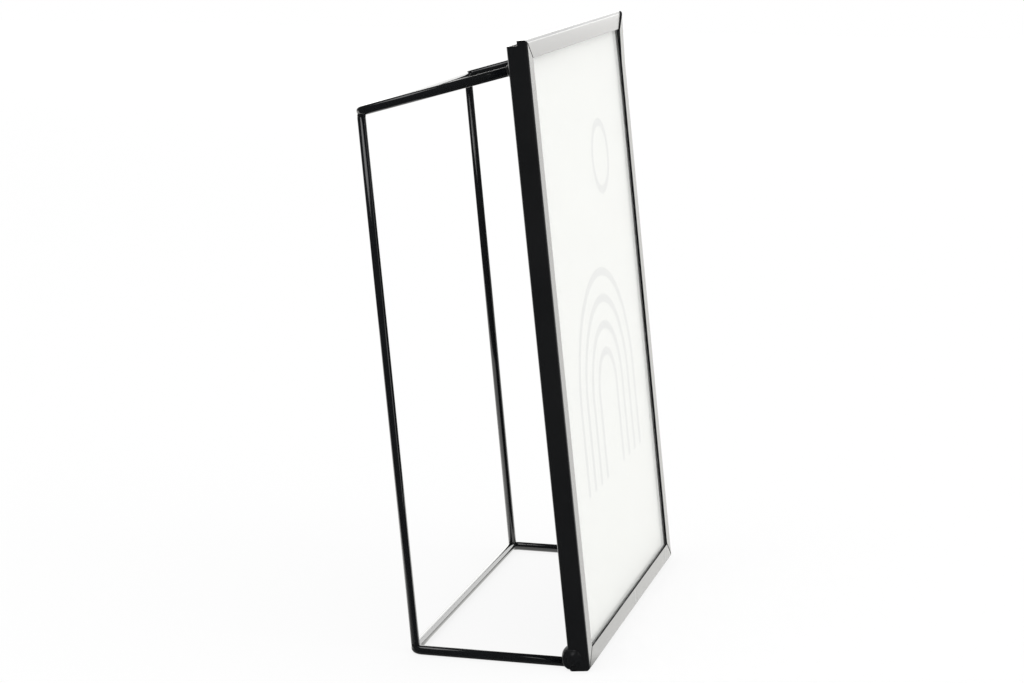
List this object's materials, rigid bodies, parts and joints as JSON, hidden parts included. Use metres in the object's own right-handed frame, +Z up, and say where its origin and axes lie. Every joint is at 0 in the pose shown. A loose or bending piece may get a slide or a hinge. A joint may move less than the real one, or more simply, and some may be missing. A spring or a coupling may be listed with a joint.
{
  "type": "floating picture frame",
  "caption": "Tabletop picture frame of folded black sheet metal, leaning on an open box of welded wire; the print and back panel slide in through a slot at the top.",
  "frame": {"origin": "on the table, under the middle of the object's box", "axes": "+X to the viewer's right, +Y from the picture's front to the wire stand, +Z up"},
  "size_m": [0.1088, 0.0608, 0.1561],
  "materials": {
    "rail_coat": "satin black powder coat",
    "wire_coat": "semi-gloss black powder coat",
    "glass": "clear polished",
    "print_paper": "matte white paper with a pale print",
    "hardboard": "hardboard faced with black paper"
  },
  "bodies": {
    "frame": {"top_rail": "rail_coat", "bottom_rail": "rail_coat", "left_rail": "rail_coat", "right_rail": "rail_coat", "glass_pane": "glass", "top_loop": "wire_coat", "bottom_loop": "wire_coat", "left_upright": "wire_coat", "right_upright": "wire_coat", "left_joint_weld": "wire_coat", "right_joint_weld": "wire_coat", "left_foot_weld": "wire_coat", "right_foot_weld": "wire_coat", "left_upper_corner_weld": "wire_coat", "right_upper_corner_weld": "wire_coat", "left_lower_corner_weld": "wire_coat", "right_lower_corner_weld": "wire_coat"},
    "print": {"print_insert": "print_paper"},
    "panel": {"back_panel": "hardboard"}
  },
  "joints": [
    {"name": "print_slide", "type": "slide", "parent": "frame", "child": "print", "axis": [0, 0.1045, 0.9945], "range_m": [0, 0.16]},
    {"name": "panel_slide", "type": "slide", "parent": "frame", "child": "panel", "axis": [0, 0.1045, 0.9945], "range_m": [0, 0.16]}
  ]
}
